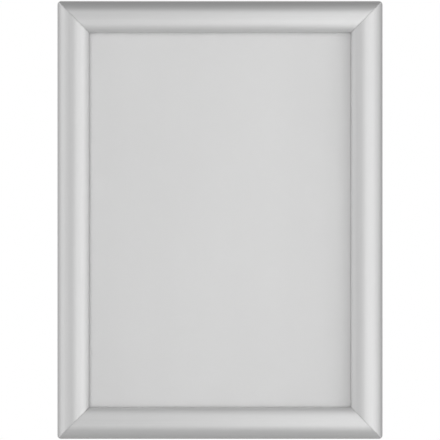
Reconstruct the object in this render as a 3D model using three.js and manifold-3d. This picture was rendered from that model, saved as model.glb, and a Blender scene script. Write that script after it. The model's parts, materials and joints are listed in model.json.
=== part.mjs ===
// A4 snap frame: a wall frame whose four cover rails flip open on hinge lines along its outer edges,
// so that a printed sheet is changed from the front while the frame stays on the wall.
//
// Millimetres, +Z up. The wall is the plane Y = 0, the front faces -Y, and the origin is the centre of
// the frame on the wall plane. Every rail is one extrusion, drawn in a section plane of its own: u runs
// inwards from the outer edge of the frame, and v runs forwards from the wall.

import * as THREE from "three";
import { mergeVertices } from "three/addons/utils/BufferGeometryUtils.js";
import Module from "manifold-3d";

const wasm = await Module();
wasm.setup();

// Driving dimensions: the sheet and what lies in its tray
const SHEET_WIDTH = 210;
const SHEET_HEIGHT = 297;
const SHEET_INSET = 20.5; // sheet edge to the frame's outer edge
const SHEET_PLAY = 0.5; // sheet edge to the stop wall
const SHEET_CORNER = 2; // corner radius of the panel and the film
const PANEL_THICKNESS = 1.5;
const FILM_THICKNESS = 0.5;
const PAPER_SLOT = 0.3; // room for the printed sheet, between panel and film
const SEAT_GAP = 0.2; // between a piece and the flat that it lies on
const LIP_GAP = 0.3; // closed cover to film

// Driving dimensions: the cover rails
const DEPTH = 12; // wall to the crown of the covers
const LIP_OVERLAP = 3.7; // how far a closed cover reaches over the sheet
const LIP_FACE = 2.4; // upright face of the lip, towards the window
const SHELL = 1.2;
const MITRE_GAP = 0.3;
const CORNER_RADIUS = 3;

// Driving dimensions: the hinge between base and cover, angles in degrees
const BEAD_RADIUS = 1.2;
const HINGE_CLEARANCE = 0.25;
const CLAW_WALL = 1;
const HOOK_WALL = 0.75; // outer end of the claw, under the cover's outer edge
const HOOK_RECESS = 0.1; // hook behind that edge
const HOOK_FLOOR_GAP = 0.25; // hook of an open cover to the base plate
const CLAW_SETBACK = 0.6; // ends of hook and boss, behind the mitre of a turning cover
const NECK_WALL = 0.9;
const NECK_LEAN = 20; // from upright, towards the window
const OPEN_ANGLE = 90;
const SWING_CLEARANCE = 4; // left between claw and neck at both stops

// Driving dimensions: the base rails
const PLATE = 1.2;
const WALL = 1.1;
const FOOT_INSET = 0.8; // base plate, behind the frame's outer edge
const LEDGE = 6; // base plate under the panel
const BACK_RELIEF = 0.3; // shallow channel in the face on the wall
const KEY_LIP = 0.9; // lips that hold the corner keys down
const KEY_LIP_WALL = 0.8;
const HOLE_DIAMETER = 4.2; // wall screws, top and bottom rails
const HOLE_FROM_CORNER = 32;

// Driving dimensions: the corner keys
const KEY_THICKNESS = 1.8;
const KEY_CLEARANCE = 0.25;
const KEY_LEG = 34;
const KEY_CHAMFER = 1.2;
const STAKE_DIAMETER = 2.4; // hole in each leg, into which the rail is staked
const STAKE_FROM_TIP = 9;

// Driving dimensions: the leaf springs and their two seats
const SPRING_THICKNESS = 0.3;
const SPRING_LENGTH = 50;
const SPRING_FROM_CORNER = 75; // middle of a spring to the outer corner
const SPRING_BOW = 0.35;
const SPRING_END_GAP = 0.6; // spring edge to the bottom of its seat
const BOSS_RISE = 0.8; // seat boss on the claw
const BOSS_TOOTH = 9; // degrees of claw on either side of the groove
const GROOVE_FLOOR = 0.2; // bottom of the groove, above the claw
const GROOVE_ANGLE = -6; // bottom of the groove, about the hinge line
const GROOVE_UP = 28; // degrees from the bottom to the upper tooth
const GROOVE_DOWN = 24;
const POST_REACH = 9.5; // hinge line to the bottom of the post's notch
const POST_ANGLE = 20;
const NOTCH_DEPTH = 0.6;
const NOTCH_HALF = 1.05;
const NOTCH_TOOTH = 0.5;

// Drawing tolerance: a round stretch lies within this of its true curve
const FACET = 0.01;
const SMALL_HOLE_SIDES = 20;
const CUT_MARGIN = 2; // cutters reach this far past what they cut

// Sizes that follow
const WIDTH = SHEET_WIDTH + 2 * SHEET_INSET;
const HEIGHT = SHEET_HEIGHT + 2 * SHEET_INSET;
const CLAW_INNER = BEAD_RADIUS + HINGE_CLEARANCE;
const CLAW_OUTER = CLAW_INNER + CLAW_WALL;
const HOOK_OUTER = CLAW_INNER + HOOK_WALL;
const HINGE_RISE = HOOK_OUTER + HOOK_FLOOR_GAP; // hinge line above the base plate
const HINGE = at(HOOK_OUTER + HOOK_RECESS, PLATE + HINGE_RISE);
const PANEL_BACK = PLATE + SEAT_GAP;
const FILM_BACK = PANEL_BACK + PANEL_THICKNESS + PAPER_SLOT;
const LIP_BACK = FILM_BACK + FILM_THICKNESS + LIP_GAP;
const COVER_WIDTH = SHEET_INSET + LIP_OVERLAP;
const POST = polar(HINGE, POST_REACH, POST_ANGLE); // bottom of the notch
const POST_INNER = POST.x + WALL;
const STOP_INNER = SHEET_INSET - SHEET_PLAY;
const STOP_OUTER = STOP_INNER - WALL;
const KEY_BACK = PLATE + SEAT_GAP;
const KEY_LIP_BACK = KEY_BACK + KEY_THICKNESS + SEAT_GAP;
const KEY_LIP_FRONT = KEY_LIP_BACK + KEY_LIP_WALL;

// The bead's neck and the ends of the claw, as angles about the hinge line
const NECK_ANGLE = NECK_LEAN - 90;
const NECK_HALF = degrees(Math.asin(NECK_WALL / 2 / BEAD_RADIUS));
const CLAW_GUARD = degrees(Math.asin(NECK_WALL / 2 / CLAW_INNER)) + SWING_CLEARANCE;
const CLAW_START = NECK_ANGLE + CLAW_GUARD;
const CLAW_END = NECK_ANGLE + 360 - CLAW_GUARD - OPEN_ANGLE;

// The cover's outer edge. Neighbouring covers swing past each other only if nothing but the hook lies
// beyond this angle, because there a turning cover would move over the mitre.
const EDGE_ANGLE = 180 - OPEN_ANGLE / 2;
const EDGE_REACH = -HINGE.x / Math.cos(THREE.MathUtils.degToRad(EDGE_ANGLE));
const EDGE = polar(HINGE, EDGE_REACH, EDGE_ANGLE);

// Materials
const paint = (color, roughness, metalness) =>
  new THREE.MeshStandardMaterial({ color, roughness, metalness });
const SATIN_ALUMINIUM = paint(0xc4c5c6, 0.38, 0.9);
const MILL_ALUMINIUM = paint(0xb4b6b8, 0.45, 0.9);
const SPRING_STEEL = paint(0x8d9196, 0.3, 1);
const ZINC_STEEL = paint(0xa9adb2, 0.5, 0.9);
const GREY_PANEL = paint(0xd2d3d4, 0.7, 0);
const CLEAR_FILM = paint(0xe6e8ea, 0.35, 0);

// Plane geometry

function degrees(radians) {
  return THREE.MathUtils.radToDeg(radians);
}

function polar(centre, radius, angle) {
  const a = THREE.MathUtils.degToRad(angle);
  return new THREE.Vector2(centre.x + radius * Math.cos(a), centre.y + radius * Math.sin(a));
}

function angleFrom(centre, point) {
  return degrees(Math.atan2(point.y - centre.y, point.x - centre.x));
}

function at(u, v) {
  return new THREE.Vector2(u, v);
}

// Points of an arc, close enough together for the drawing tolerance.
function arc(centre, radius, from, to) {
  const widest = degrees(2 * Math.acos(1 - FACET / radius));
  const steps = Math.max(1, Math.ceil(Math.abs(to - from) / widest));
  return Array.from({ length: steps + 1 }, (_, i) =>
    polar(centre, radius, from + ((to - from) * i) / steps),
  );
}

// The circle of the cover's outside, from its outer edge over the crown to the lip's edge. Each end lies
// a known drop below the crown, so that c^2 = 2 d R - d^2 for its distance c from the crown. Eliminating
// R leaves a quadratic in the crown's u, solved in the form that stays good for equal drops.
function domeCircle() {
  const outerDrop = DEPTH - EDGE.y;
  const lipDrop = DEPTH - LIP_BACK - LIP_FACE;
  const a = 1 - lipDrop / outerDrop;
  const c = COVER_WIDTH ** 2 + lipDrop ** 2 - outerDrop * lipDrop;
  const crown = c / (COVER_WIDTH + Math.sqrt(COVER_WIDTH ** 2 - a * c));
  const radius = (crown ** 2 + outerDrop ** 2) / (2 * outerDrop);
  return { centre: at(crown, DEPTH - radius), radius };
}

// Sections

// The cover: a domed shell that turns down to an upright lip on the film. Under its outer edge a claw
// grips the base's bead, with the hook as its outer end and the boss with the springs' groove as its inner
// end.
function coverSection() {
  const { centre, radius } = domeCircle();
  const inner = radius - SHELL;
  const apart = centre.distanceTo(HINGE);
  const turn = Math.acos((inner ** 2 - apart ** 2 - CLAW_OUTER ** 2) / (2 * apart * CLAW_OUTER));
  const join = angleFrom(centre, HINGE) - degrees(turn); // where the shell's inside meets the claw
  const lipEdge = at(COVER_WIDTH, LIP_BACK + LIP_FACE);
  const lipInside = COVER_WIDTH - SHELL;
  const shellEnd = degrees(Math.acos((lipInside - centre.x) / inner));
  const boss = CLAW_OUTER + BOSS_RISE;
  const low = GROOVE_ANGLE - GROOVE_DOWN;
  const high = GROOVE_ANGLE + GROOVE_UP;
  return [
    at(COVER_WIDTH, LIP_BACK),
    ...arc(centre, radius, angleFrom(centre, lipEdge), angleFrom(centre, EDGE)),
    ...arc(HINGE, HOOK_OUTER, EDGE_ANGLE, CLAW_END),
    ...arc(HINGE, CLAW_INNER, CLAW_END, CLAW_START),
    ...arc(HINGE, CLAW_OUTER, CLAW_START, low - BOSS_TOOTH),
    ...arc(HINGE, boss, low - BOSS_TOOTH, low),
    polar(HINGE, CLAW_OUTER + GROOVE_FLOOR, GROOVE_ANGLE),
    ...arc(HINGE, boss, high, high + BOSS_TOOTH),
    ...arc(HINGE, CLAW_OUTER, high + BOSS_TOOTH, join),
    ...arc(centre, inner, angleFrom(centre, polar(HINGE, CLAW_OUTER, join)), shellEnd).slice(1),
    at(lipInside, LIP_BACK),
  ];
}

// The base: a plate on the wall with the hinge bead on its leaning neck, the post for the springs, the
// lipped channel for the corner keys, the stop wall for the sheet and the ledge under the panel.
function baseSection() {
  const ledgeEnd = SHEET_INSET + LEDGE;
  const neckFoot = polar(HINGE, HINGE_RISE / Math.cos(THREE.MathUtils.degToRad(NECK_LEAN)), NECK_ANGLE);
  const neckHalf = NECK_WALL / 2 / Math.cos(THREE.MathUtils.degToRad(NECK_LEAN));
  const tooth = POST.x - NOTCH_DEPTH;
  const postTop = POST.y + NOTCH_HALF + NOTCH_TOOTH;
  return [
    at(FOOT_INSET, 0),
    at(POST_INNER, 0),
    at(POST_INNER + BACK_RELIEF, BACK_RELIEF),
    at(STOP_OUTER - BACK_RELIEF, BACK_RELIEF),
    at(STOP_OUTER, 0),
    at(ledgeEnd, 0),
    at(ledgeEnd, PLATE - BACK_RELIEF),
    at(ledgeEnd - BACK_RELIEF, PLATE),
    at(STOP_INNER, PLATE),
    at(STOP_INNER, KEY_LIP_FRONT),
    at(STOP_OUTER - KEY_LIP, KEY_LIP_FRONT),
    at(STOP_OUTER - KEY_LIP, KEY_LIP_BACK),
    at(STOP_OUTER, KEY_LIP_BACK),
    at(STOP_OUTER, PLATE),
    at(POST_INNER, PLATE),
    at(POST_INNER, KEY_LIP_BACK),
    at(POST_INNER + KEY_LIP, KEY_LIP_BACK),
    at(POST_INNER + KEY_LIP, KEY_LIP_FRONT),
    at(POST_INNER, KEY_LIP_FRONT),
    at(POST_INNER, postTop),
    at(tooth, postTop),
    at(tooth, POST.y + NOTCH_HALF),
    POST,
    at(tooth, POST.y - NOTCH_HALF),
    at(tooth, POST.y - NOTCH_HALF - NOTCH_TOOTH),
    at(POST.x, POST.y - NOTCH_HALF - NOTCH_TOOTH - NOTCH_DEPTH),
    at(POST.x, PLATE),
    at(neckFoot.x + neckHalf, PLATE),
    ...arc(HINGE, BEAD_RADIUS, NECK_ANGLE + NECK_HALF, NECK_ANGLE + 360 - NECK_HALF),
    at(neckFoot.x - neckHalf, PLATE),
    at(FOOT_INSET, PLATE),
  ];
}

// A leaf spring: a strip bowed forwards, from the groove on the closed cover to the notch on the post.
function springSection() {
  const seat = polar(HINGE, CLAW_OUTER + GROOVE_FLOOR, GROOVE_ANGLE);
  const along = POST.clone().sub(seat).normalize();
  const start = seat.clone().addScaledVector(along, SPRING_END_GAP);
  const half = (seat.distanceTo(POST) - 2 * SPRING_END_GAP) / 2;
  const radius = (half ** 2 + SPRING_BOW ** 2) / (2 * SPRING_BOW);
  const behind = at(along.y, -along.x); // from the strip towards its centre of curvature
  const centre = start.clone().addScaledVector(along, half).addScaledVector(behind, radius - SPRING_BOW);
  const middle = angleFrom(at(0, 0), behind) + 180;
  const sweep = degrees(Math.asin(half / radius));
  return [
    ...arc(centre, radius + SPRING_THICKNESS / 2, middle - sweep, middle + sweep),
    ...arc(centre, radius - SPRING_THICKNESS / 2, middle + sweep, middle - sweep),
  ];
}

// Solids

function toSolid(geometry) {
  const bare = geometry.clone();
  bare.deleteAttribute("normal");
  bare.deleteAttribute("uv");
  const merged = mergeVertices(bare, 1e-5);
  return new wasm.Manifold(
    new wasm.Mesh({
      numProp: 3,
      vertProperties: merged.attributes.position.array,
      triVerts: new Uint32Array(merged.index.array),
    }),
  );
}

function toGeometry(solid) {
  const { vertProperties, triVerts } = solid.getMesh();
  const geometry = new THREE.BufferGeometry();
  geometry.setAttribute("position", new THREE.BufferAttribute(vertProperties, 3));
  geometry.setIndex(new THREE.BufferAttribute(triVerts, 1));
  geometry.computeVertexNormals();
  return geometry;
}

function extrude(outline, depth) {
  return new THREE.ExtrudeGeometry(outline, { depth, bevelEnabled: false });
}

// A bar of the given section, along z about its middle, whose ends are cut at 45 degrees.
function mitredBar(section, span) {
  const bar = extrude(new THREE.Shape(section), 1);
  const place = bar.attributes.position;
  for (let i = 0; i < place.count; i++) {
    const end = span / 2 - place.getX(i) - MITRE_GAP / Math.SQRT2;
    place.setZ(i, place.getZ(i) > 0.5 ? end : -end);
  }
  return bar;
}

// A rectangle with round corners, from its low corner.
function roundedRectangle(x, y, width, height, radius) {
  const shape = new THREE.Shape();
  shape.moveTo(x + radius, y);
  shape.absarc(x + width - radius, y + radius, radius, -Math.PI / 2, 0);
  shape.absarc(x + width - radius, y + height - radius, radius, 0, Math.PI / 2);
  shape.absarc(x + radius, y + height - radius, radius, Math.PI / 2, Math.PI);
  shape.absarc(x + radius, y + radius, radius, Math.PI, Math.PI * 1.5);
  return shape;
}

// Turns an outline drawn in the plane of the wall, along the rail and inwards, into the rail's u, v, z.
const FROM_WALL_PLANE = new THREE.Matrix4().makeBasis(
  new THREE.Vector3(0, 0, 1),
  new THREE.Vector3(1, 0, 0),
  new THREE.Vector3(0, 1, 0),
);

function onWallPlane(outline, back, thickness) {
  return extrude(outline, thickness).applyMatrix4(FROM_WALL_PLANE).translate(0, back, 0);
}

// The frame's outline with its rounded corners, as a block that a rail is trimmed to.
function outlineBlock(span, inset) {
  const inwards = COVER_WIDTH + LEDGE + CORNER_RADIUS;
  const shape = roundedRectangle(
    inset - span / 2,
    inset,
    span - 2 * inset,
    inwards + CORNER_RADIUS,
    CORNER_RADIUS,
  );
  return toSolid(onWallPlane(shape, -CUT_MARGIN, DEPTH + 2 * CUT_MARGIN));
}

// A box between two corners, along the rail from its end of the given sign.
function endCut(from, to, length, span, end) {
  const middle = from.clone().add(to).divideScalar(2);
  const box = new THREE.BoxGeometry(to.x - from.x, to.y - from.y, length);
  return toSolid(box.translate(middle.x, middle.y, (end * (span - length)) / 2));
}

// A cover rail. Its hook and its boss would cross the mitre as they turn, so both stop short of it.
function coverRail(span) {
  const boss = HINGE.x + CLAW_OUTER + BOSS_RISE + CLAW_SETBACK;
  const hookFoot = polar(HINGE, HOOK_OUTER, EDGE_ANGLE);
  let rail = toSolid(mitredBar(coverSection(), span)).intersect(outlineBlock(span, 0));
  for (const end of [-1, 1]) {
    const hook = endCut(at(0, 0), at(HINGE.x, hookFoot.y), HINGE.x + CLAW_SETBACK, span, end);
    const inside = endCut(at(HINGE.x, 0), at(boss, HINGE.y), boss + CLAW_SETBACK, span, end);
    rail = rail.subtract(hook).subtract(inside);
  }
  return rail;
}

// A base rail, with its screw holes in the outer channel if it has any.
function baseRail(span, holes) {
  const neckFoot = HINGE.x + HINGE_RISE * Math.tan(THREE.MathUtils.degToRad(NECK_LEAN));
  const middle = (neckFoot + NECK_WALL / 2 + POST.x) / 2;
  const trimmed = toSolid(mitredBar(baseSection(), span)).intersect(outlineBlock(span, FOOT_INSET));
  return holes.reduce((rail, along) => {
    const hole = new THREE.CylinderGeometry(
      HOLE_DIAMETER / 2,
      HOLE_DIAMETER / 2,
      PLATE + 2 * CUT_MARGIN,
      SMALL_HOLE_SIDES,
    );
    return rail.subtract(toSolid(hole.translate(middle, PLATE / 2, along)));
  }, trimmed);
}

// A corner key: a flat angle in the channels of two rails, drawn from the frame's outer corner.
function cornerKey() {
  const near = POST_INNER + KEY_CLEARANCE;
  const far = STOP_OUTER - KEY_CLEARANCE;
  const tip = near + KEY_LEG;
  const shape = new THREE.Shape([
    at(near + KEY_CHAMFER, near),
    at(tip - KEY_CHAMFER, near),
    at(tip, near + KEY_CHAMFER),
    at(tip, far - KEY_CHAMFER),
    at(tip - KEY_CHAMFER, far),
    at(far, far),
    at(far, tip - KEY_CHAMFER),
    at(far - KEY_CHAMFER, tip),
    at(near + KEY_CHAMFER, tip),
    at(near, tip - KEY_CHAMFER),
    at(near, near + KEY_CHAMFER),
  ]);
  const middle = (near + far) / 2;
  const stake = tip - STAKE_FROM_TIP;
  for (const [x, y] of [
    [stake, middle],
    [middle, stake],
  ]) {
    shape.holes.push(new THREE.Path().absarc(x, y, STAKE_DIAMETER / 2, 0, 2 * Math.PI, true));
  }
  return onWallPlane(shape, KEY_BACK, KEY_THICKNESS);
}

function leafSpring() {
  return extrude(new THREE.Shape(springSection()), SPRING_LENGTH).translate(0, 0, -SPRING_LENGTH / 2);
}

// A sheet of the tray, centred on the frame, with its front towards -Y.
function traySheet(back, thickness) {
  const shape = roundedRectangle(
    -SHEET_WIDTH / 2,
    -SHEET_HEIGHT / 2,
    SHEET_WIDTH,
    SHEET_HEIGHT,
    SHEET_CORNER,
  );
  return extrude(shape, thickness).rotateX(Math.PI / 2).translate(0, -back, 0);
}

// Assembly

function piece(name, geometry, material) {
  const mesh = new THREE.Mesh(geometry, material.clone());
  mesh.name = name;
  return mesh;
}

// The four sides in turn, each a quarter turn on from the last. A rail's z runs along it: `corner` is the
// corner that it starts at, and `ends` tells its two springs apart, in order along it.
const SIDES = [
  { name: "bottom", corner: "bottom_left", ends: ["left", "right"], span: WIDTH, across: HEIGHT },
  { name: "right", corner: "bottom_right", ends: ["lower", "upper"], span: HEIGHT, across: WIDTH },
  { name: "top", corner: "top_right", ends: ["right", "left"], span: WIDTH, across: HEIGHT },
  { name: "left", corner: "top_left", ends: ["upper", "lower"], span: HEIGHT, across: WIDTH },
];
const SCREWED_SIDES = ["top", "bottom"];

// A rail's u, v and z as directions of the bottom side: up, forwards and to the right.
const BOTTOM_SIDE = new THREE.Matrix4().makeBasis(
  new THREE.Vector3(0, 0, 1),
  new THREE.Vector3(0, -1, 0),
  new THREE.Vector3(1, 0, 0),
);

function sideOfFrame({ name, corner, ends, span, across }, quarter) {
  const holePlace = span / 2 - HOLE_FROM_CORNER;
  const holes = SCREWED_SIDES.includes(name) ? [-holePlace, holePlace] : [];
  const rail = new THREE.Group();
  rail.quaternion.setFromRotationMatrix(BOTTOM_SIDE);
  rail.position.z = -across / 2;
  rail.add(piece(`base_rail_${name}`, toGeometry(baseRail(span, holes)), MILL_ALUMINIUM));
  rail.add(piece(`cover_rail_${name}`, toGeometry(coverRail(span)), SATIN_ALUMINIUM));
  ends.forEach((end, i) => {
    const spring = piece(`leaf_spring_${name}_${end}`, leafSpring(), SPRING_STEEL);
    spring.position.z = (i ? 1 : -1) * (span / 2 - SPRING_FROM_CORNER);
    rail.add(spring);
  });
  const key = piece(`corner_key_${corner}`, cornerKey(), ZINC_STEEL);
  key.position.z = -span / 2;
  rail.add(key);
  const side = new THREE.Group();
  side.rotation.y = (-quarter * Math.PI) / 2;
  side.add(rail);
  return side;
}

const snapFrame = new THREE.Group();
SIDES.forEach((side, quarter) => snapFrame.add(sideOfFrame(side, quarter)));
snapFrame.add(piece("back_panel", traySheet(PANEL_BACK, PANEL_THICKNESS), GREY_PANEL));
snapFrame.add(piece("cover_film", traySheet(FILM_BACK, FILM_THICKNESS), CLEAR_FILM));

export default snapFrame;
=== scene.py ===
# %% [markdown]
# # A snap frame, dressed for its portrait
# A snap frame hangs on a wall and shows one printed sheet behind a clear film. Its four cover rails flip
# open on the frame's outer edges, so that the sheet is changed without taking the frame down.
# The CAD model already has every piece in place. This lesson rebuilds each piece with finer surfaces and
# softened edges, gives it a finish, and lights it like a studio photograph.
# We load the model first and keep its box, from whose width the camera's view is worked out. We load the
# model first and keep its box, because the dressed frame must not outgrow it.

# %% Load the frame
import json

import bpy
import numpy as np
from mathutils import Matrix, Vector
from mathutils.geometry import delaunay_2d_cdt

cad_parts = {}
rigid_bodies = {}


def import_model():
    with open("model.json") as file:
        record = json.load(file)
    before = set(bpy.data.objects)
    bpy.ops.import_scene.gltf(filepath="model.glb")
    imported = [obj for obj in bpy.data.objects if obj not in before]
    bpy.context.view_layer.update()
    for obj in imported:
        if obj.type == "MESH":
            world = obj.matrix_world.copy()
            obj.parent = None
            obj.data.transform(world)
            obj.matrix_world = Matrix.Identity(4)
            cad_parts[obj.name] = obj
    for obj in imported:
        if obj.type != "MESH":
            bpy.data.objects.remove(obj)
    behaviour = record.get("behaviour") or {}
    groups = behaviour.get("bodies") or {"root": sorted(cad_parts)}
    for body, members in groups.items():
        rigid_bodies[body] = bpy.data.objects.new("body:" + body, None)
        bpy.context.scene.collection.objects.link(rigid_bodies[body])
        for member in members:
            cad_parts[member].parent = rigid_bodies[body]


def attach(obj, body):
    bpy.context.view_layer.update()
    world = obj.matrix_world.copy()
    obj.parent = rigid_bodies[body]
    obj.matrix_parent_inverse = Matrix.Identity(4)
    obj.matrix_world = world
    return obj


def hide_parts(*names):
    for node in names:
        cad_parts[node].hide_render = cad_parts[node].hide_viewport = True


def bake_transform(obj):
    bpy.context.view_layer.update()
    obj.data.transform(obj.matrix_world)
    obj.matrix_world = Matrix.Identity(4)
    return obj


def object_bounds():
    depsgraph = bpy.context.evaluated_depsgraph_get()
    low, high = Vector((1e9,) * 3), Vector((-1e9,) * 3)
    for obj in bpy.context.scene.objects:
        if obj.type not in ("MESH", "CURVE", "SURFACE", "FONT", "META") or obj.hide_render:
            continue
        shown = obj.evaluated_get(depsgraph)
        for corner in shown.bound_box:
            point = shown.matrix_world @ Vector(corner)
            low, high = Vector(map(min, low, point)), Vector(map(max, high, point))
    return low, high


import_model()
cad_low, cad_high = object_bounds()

MM = 0.001
print("CAD box in mm:", [round(size / MM, 1) for size in cad_high - cad_low])

# %% [markdown]
# ## The camera
# The picture is taken straight on, from so far away that the frame's sides can't be seen: all four mitres
# run at 45 degrees and the rails look equally wide. A long lens does that. Its focal length follows from
# the distance and from the width of the view, which is measured on the frame itself: from one outer edge of
# its covers to the other it fills 325.1 of the picture's 440 pixels.

# %% Camera
PICTURE_PIXELS = 440
FRAME_PIXELS = 325.1
CAMERA_DISTANCE = 1.6  # from the wall
EDGE_FORWARD = 0.006  # how far the covers' outer edges stand off the wall

frame_width = cad_high.x - cad_low.x
view_width = frame_width * PICTURE_PIXELS / FRAME_PIXELS
camera_data = bpy.data.cameras.new("studio_camera")
camera_data.sensor_width = 36
camera_data.lens = camera_data.sensor_width * (CAMERA_DISTANCE - EDGE_FORWARD) / view_width
camera = bpy.data.objects.new("studio_camera", camera_data)
camera.location = (0, -CAMERA_DISTANCE, 0)
camera.rotation_euler = (np.pi / 2, 0, 0)
bpy.context.scene.collection.objects.link(camera)
bpy.context.scene.camera = camera
bpy.context.scene.view_settings.view_transform = "Standard"
print(f"lens {camera_data.lens:.1f} mm, view {view_width / MM:.1f} mm wide")

# %% [markdown]
# ## The drawing
# Every rail is an extrusion: aluminium pressed through a die, so that one drawing gives its whole length.
# The drawing has two axes. `u` runs inwards from the frame's outer edge and `v` forwards from the wall,
# both in millimetres, and `s` runs along the rail. The sizes are those of the CAD model, so that a piece
# that replaces a solid stays where the solid is.

# %% Sizes of the whole frame
SHEET_WIDTH = 210
SHEET_HEIGHT = 297
SHEET_INSET = 20.5  # from the frame's outer edge to the sheet's
DEPTH = 12  # from the wall to the top of the covers
HINGE = np.array([2.3, 3.65])  # the line on which a cover turns
WIDTH = SHEET_WIDTH + 2 * SHEET_INSET
HEIGHT = SHEET_HEIGHT + 2 * SHEET_INSET
print(f"frame {WIDTH} x {HEIGHT} x {DEPTH} mm")

# %% [markdown]
# ## Arcs
# A drawing is a closed ring of points, anticlockwise. Its round stretches come from one helper, which
# places points on a circle close enough together to look smooth in a close-up. Blender's own curves could
# do it too, but plain points are easier to bend and saw.

# %% Arcs
ARC_CHORD = 0.22  # from one point to the next
FEWEST_STEPS = 3


def polar(centre, radius, degrees):
    """The points at these angles on a circle: centre + radius (cos a, sin a)."""
    angle = np.radians(degrees)
    return centre + radius * np.stack([np.cos(angle), np.sin(angle)], -1)


def bearing(centre, point):
    """The angle in degrees under which the centre sees the point."""
    across, up = np.subtract(point, centre)
    return np.degrees(np.arctan2(up, across))


def arc(centre, radius, start, end):
    """Points on a circle from one angle to another, no further apart than the chord."""
    steps = max(FEWEST_STEPS, int(np.ceil(np.radians(abs(end - start)) * radius / ARC_CHORD)))
    return polar(centre, radius, np.linspace(start, end, steps + 1))


print(len(arc(HINGE, 2, 0, 90)), "points on a quarter circle of 2 mm")

# %% [markdown]
# ## Soft corners
# Nothing that is extruded, rolled or sawn has a perfectly sharp edge, and it is the tiny rounding that
# catches the light. We could ask for Bevel modifiers, but the drawing is the better place: each corner is
# swapped for a short parabola once, and the whole rail gets it.

# %% Soft corners
LEAST_TURN = 25  # degrees; gentler bends are left as they are
LARGEST_SHARE = 0.4  # of an edge, for the bend at one of its ends
FLAT_START = 1.2  # where the flat begins, in reaches from the corner
BEND_STEPS = 4


def soften(ring, radius):
    """Rounds every corner P that turns by more than the least turn. With unit directions a and b to its
    neighbours it becomes the parabola P + c (1-t)^2 a + c t^2 b, for t from 0 to 1, which touches both
    edges. The reach c is radius x tan(turn / 2), but at most the largest share of the shorter edge. One
    more point lies just outside on each edge, so that smooth shading ends there and the flats stay flat."""
    to_last = np.roll(ring, 1, 0) - ring
    to_next = np.roll(ring, -1, 0) - ring
    last_length = np.linalg.norm(to_last, axis=1)
    next_length = np.linalg.norm(to_next, axis=1)
    to_last = to_last / last_length[:, None]
    to_next = to_next / next_length[:, None]
    turn = np.arccos(np.clip(-(to_last * to_next).sum(1), -1, 1))
    reach = np.minimum(radius * np.tan(turn / 2), LARGEST_SHARE * np.minimum(last_length, next_length))
    reach = np.where(turn > np.radians(LEAST_TURN), reach, 0)
    t = np.linspace(0, 1, BEND_STEPS + 1)
    along_last = np.concatenate([[FLAT_START], (1 - t) ** 2, [0]])[:, None]
    along_next = np.concatenate([[0], t**2, [FLAT_START]])[:, None]
    bends = along_last * to_last[:, None] + along_next * to_next[:, None]
    points = ring[:, None] + reach[:, None, None] * bends
    keep = (reach > 0)[:, None] | (np.arange(len(t) + 2) == 0)
    return points[keep]


square = np.array([[0, 0], [1, 0], [1, 1], [0, 1]])
print("the 4 corners of a square become", len(soften(square, 0.1)), "points")

# %% [markdown]
# ## The section of a cover rail: its dome
# The cover is a shallow dome that turns down to an upright lip, which presses on the film and throws the
# dark line round the window. The dome is one arc. Only its two ends and the height of its top are known, so
# its circle is worked out from them.

# %% Dome
COVER_WIDTH = 24.2
LIP_BACK = 4.0  # the lip's edge, just in front of the film
LIP_FACE = 2.4  # the upright face of the lip, towards the window
EDGE_ANGLE = 135  # from the hinge line to the cover's outer edge, in degrees


def dome_circle(edge, lip):
    """The circle through the outer edge and the lip's edge whose top is at the frame's full depth. An end
    that lies d below the top is c = sqrt(2 d R - d^2) beside it, and the two c add up to the cover's
    width w. That makes a quadratic for the top's place: ratio u^2 - 2 w u + constant = 0."""
    width = lip[0]
    edge_drop, lip_drop = DEPTH - edge[1], DEPTH - lip[1]
    ratio = 1 - lip_drop / edge_drop
    constant = width**2 + lip_drop**2 - edge_drop * lip_drop
    top = constant / (width + np.sqrt(width**2 - ratio * constant))
    radius = (top**2 + edge_drop**2) / (2 * edge_drop)
    return np.array([top, DEPTH - radius]), radius


COVER_EDGE = polar(HINGE, HINGE[0] * np.sqrt(2), EDGE_ANGLE)
LIP_EDGE = np.array([COVER_WIDTH, LIP_BACK + LIP_FACE])
DOME_CENTRE, DOME_RADIUS = dome_circle(COVER_EDGE, LIP_EDGE)
print(f"dome radius {DOME_RADIUS:.2f} mm, top {DOME_CENTRE[0]:.2f} mm inside the edge")

# %% [markdown]
# ## The cover's body
# Under the cover's outer edge sits a claw: it grips a round bead on the base, which makes the hinge. The
# claw's outer end is a hook, and its inner end a boss with a groove for the leaf springs. Hook and boss
# would run into the next rail as a cover turns, so the real ones are cut back at the ends.
# We draw the section as three rings that overlap a little. Then each is carried along its own length, and
# no Boolean is needed. The body is the ring that runs right to the mitres: the dome, its lip and the top of
# the claw.

# %% Cover body
EDGE_SOFTNESS = 0.16  # radius of the section's corners
SHELL = 1.2  # thickness of dome and lip
CLAW_INNER = 1.45  # this and the next four are radii about the hinge line
CLAW_OUTER = 2.45
HOOK_OUTER = 2.2
BOSS_OUTER = 3.25
GROOVE_RADIUS = 2.65
GROOVE_ANGLE = -6  # degrees, as seen from the hinge line
BOSS_HIGH = 22  # degrees: the groove's upper end
BOSS_TOOTH = 9  # degrees that the tooth beside the groove takes

GROOVE = polar(HINGE, GROOVE_RADIUS, GROOVE_ANGLE)  # bottom of the groove
HOOK_FOOT = polar(HINGE, HOOK_OUTER, EDGE_ANGLE)
BOSS_TIP = polar(HINGE, BOSS_OUTER, BOSS_HIGH)
level_share = (HINGE[1] - GROOVE[1]) / (BOSS_TIP[1] - GROOVE[1])
GROOVE_SIDE = GROOVE + level_share * (BOSS_TIP - GROOVE)  # the groove's side, level with the hinge line


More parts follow.
